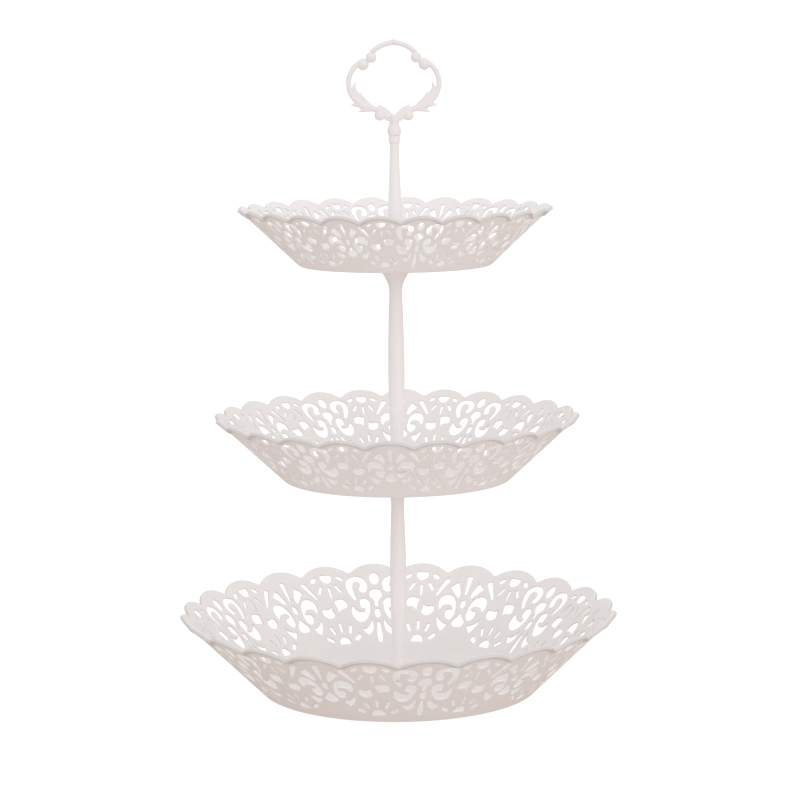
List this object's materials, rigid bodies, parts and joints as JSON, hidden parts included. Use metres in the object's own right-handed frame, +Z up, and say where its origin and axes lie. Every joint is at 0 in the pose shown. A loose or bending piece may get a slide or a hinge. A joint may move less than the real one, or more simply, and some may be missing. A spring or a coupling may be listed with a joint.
{
  "type": "tiered cake stand",
  "caption": "Free-standing tiered cake stand: round openwork dishes with scalloped rims on screw-together fluted poles, with a scrolled ring handle on top.",
  "frame": {"origin": "on the pole axis, at the surface that the lowest dish's foot ring stands on", "axes": "+Z up along the poles; the ring handle lies in the X-Z plane and faces -Y, towards whoever looks at the stand from the front; +X to that person's right"},
  "size_m": [0.2582, 0.2582, 0.3845],
  "materials": {
    "dish_plastic": "satin, smooth from the mould",
    "pole_plastic": "satin, smooth from the mould",
    "handle_plastic": "satin, smooth from the mould",
    "steel_thread": "zinc plated, bright",
    "brass_insert": "machined"
  },
  "bodies": {
    "lower_dish": {"lower_bowl": "dish_plastic", "base_screw_head": "pole_plastic", "base_screw_stud": "steel_thread"},
    "lower_pole_lift": {"lower_pole_foot_insert": "brass_insert"},
    "lower_pole": {"lower_pole": "pole_plastic", "lower_pole_top_insert": "brass_insert", "middle_stud": "steel_thread"},
    "middle_dish": {"middle_bowl": "dish_plastic"},
    "upper_pole_lift": {"upper_pole_foot_insert": "brass_insert"},
    "upper_pole": {"upper_pole": "pole_plastic", "upper_pole_top_insert": "brass_insert", "upper_stud": "steel_thread"},
    "upper_dish": {"upper_bowl": "dish_plastic"},
    "handle_lift": {"handle_foot_insert": "brass_insert"},
    "handle": {"handle_stem": "handle_plastic", "ring_handle": "handle_plastic"}
  },
  "joints": [
    {"name": "lower_pole_lift", "type": "slide", "parent": "lower_dish", "child": "lower_pole_lift", "axis": [0, 0, 1], "range_m": [0, 0.008]},
    {"name": "lower_pole_unscrew", "type": "hinge", "parent": "lower_pole_lift", "child": "lower_pole", "pos_m": [0, 0, 0.0046], "axis": [0, 0, 1], "range_deg": [0, 3600]},
    {"name": "middle_dish_turn", "type": "hinge", "parent": "lower_pole", "child": "middle_dish", "pos_m": [0, 0, 0.1313], "axis": [0, 0, 1], "continuous": true},
    {"name": "upper_pole_lift", "type": "slide", "parent": "lower_pole", "child": "upper_pole_lift", "axis": [0, 0, 1], "range_m": [0, 0.008]},
    {"name": "upper_pole_unscrew", "type": "hinge", "parent": "upper_pole_lift", "child": "upper_pole", "pos_m": [0, 0, 0.1313], "axis": [0, 0, 1], "range_deg": [0, 3600]},
    {"name": "upper_dish_turn", "type": "hinge", "parent": "upper_pole", "child": "upper_dish", "pos_m": [0, 0, 0.258], "axis": [0, 0, 1], "continuous": true},
    {"name": "handle_lift", "type": "slide", "parent": "upper_pole", "child": "handle_lift", "axis": [0, 0, 1], "range_m": [0, 0.008]},
    {"name": "handle_unscrew", "type": "hinge", "parent": "handle_lift", "child": "handle", "pos_m": [0, 0, 0.258], "axis": [0, 0, 1], "range_deg": [0, 3600]}
  ],
  "couplings": [
    {"joint": "lower_pole_unscrew", "follows": "lower_pole_lift", "rad_per_m": 7853.9},
    {"joint": "upper_pole_unscrew", "follows": "upper_pole_lift", "rad_per_m": 7853.9},
    {"joint": "handle_unscrew", "follows": "handle_lift", "rad_per_m": 7853.9}
  ]
}
